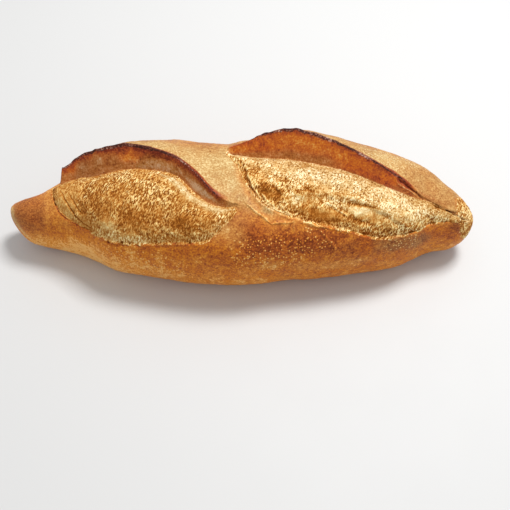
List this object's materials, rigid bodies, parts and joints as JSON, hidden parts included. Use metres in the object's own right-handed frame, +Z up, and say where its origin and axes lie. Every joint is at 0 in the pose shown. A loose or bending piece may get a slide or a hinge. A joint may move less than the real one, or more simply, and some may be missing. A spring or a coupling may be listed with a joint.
{
  "type": "scored crusty loaf",
  "caption": "Long crusty white bread loaf with blunt ends, slashed on the slant so that pale blooms swell open beside thin dark-edged ears, lying on its flat underside.",
  "frame": {"origin": "on the underside, below the middle of the loaf's box", "axes": "+X along the loaf, +Y across it to the side the ears lean to, +Z up"},
  "size_m": [0.274, 0.0873, 0.0692],
  "materials": {
    "crust": "matte golden-brown baked crust, paler and crumbly where the slashes opened, nearly black along the ears' edges"
  },
  "bodies": {
    "root": {"loaf": "crust"}
  },
  "joints": []
}
